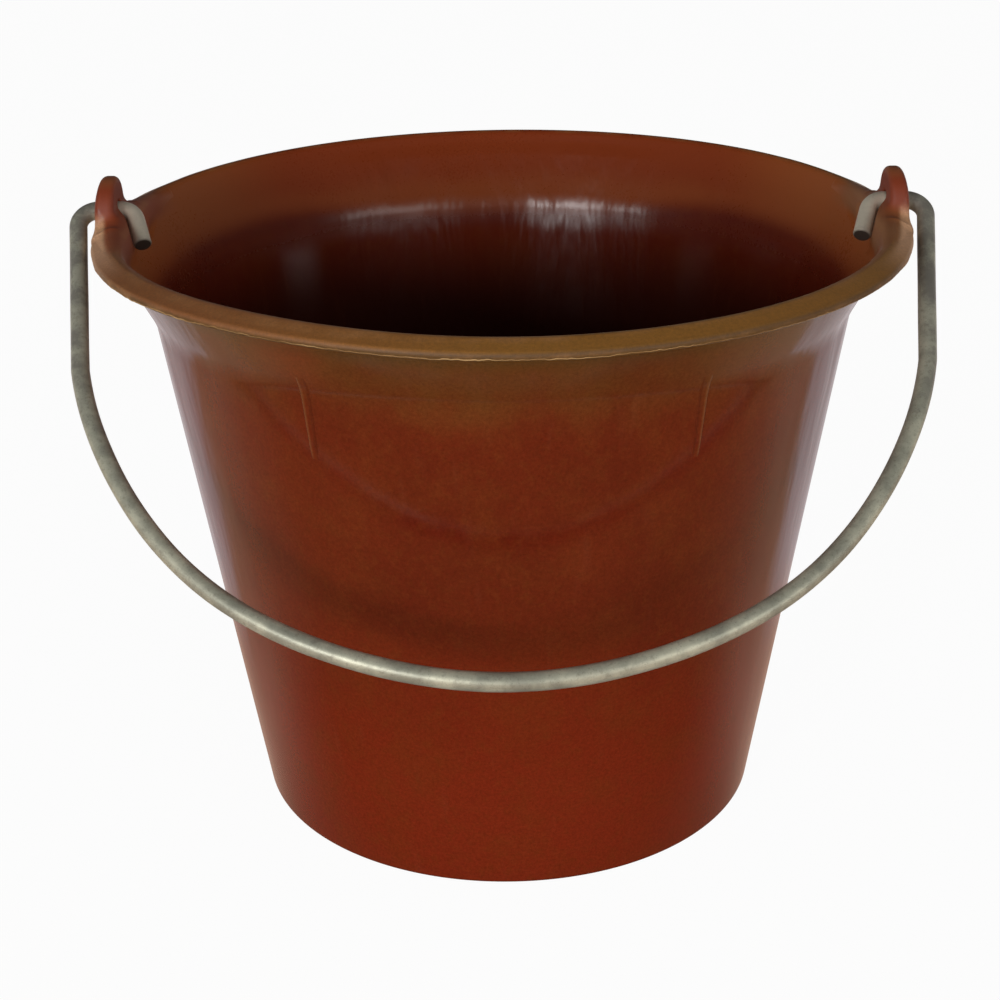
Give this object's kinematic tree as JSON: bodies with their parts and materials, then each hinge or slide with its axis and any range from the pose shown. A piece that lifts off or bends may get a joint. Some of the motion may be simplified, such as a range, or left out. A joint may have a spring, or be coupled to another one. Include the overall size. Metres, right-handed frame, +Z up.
{
  "type": "bucket",
  "caption": "Tapered moulded rubber bucket with a flared lip, ears on the rim, and a bent wire bail that swings through them.",
  "frame": {"origin": "centre of the foot ring, on the surface that the bucket stands on", "axes": "+Z up along the bucket's axis; +X along the line of the bail's bores; the bail hangs forwards, on the -Y side"},
  "size_m": [0.318, 0.311, 0.244],
  "materials": {
    "bucket_rubber": "satin",
    "bail_wire": "dull galvanised"
  },
  "bodies": {
    "bucket_body": {"bucket": "bucket_rubber"},
    "bail_body": {"bail": "bail_wire"}
  },
  "joints": [
    {"name": "bail_swing", "type": "hinge", "parent": "bucket_body", "child": "bail_body", "pos_m": [0, 0, 0.2315], "axis": [-1, 0, 0], "range_deg": [-18, 270]}
  ]
}
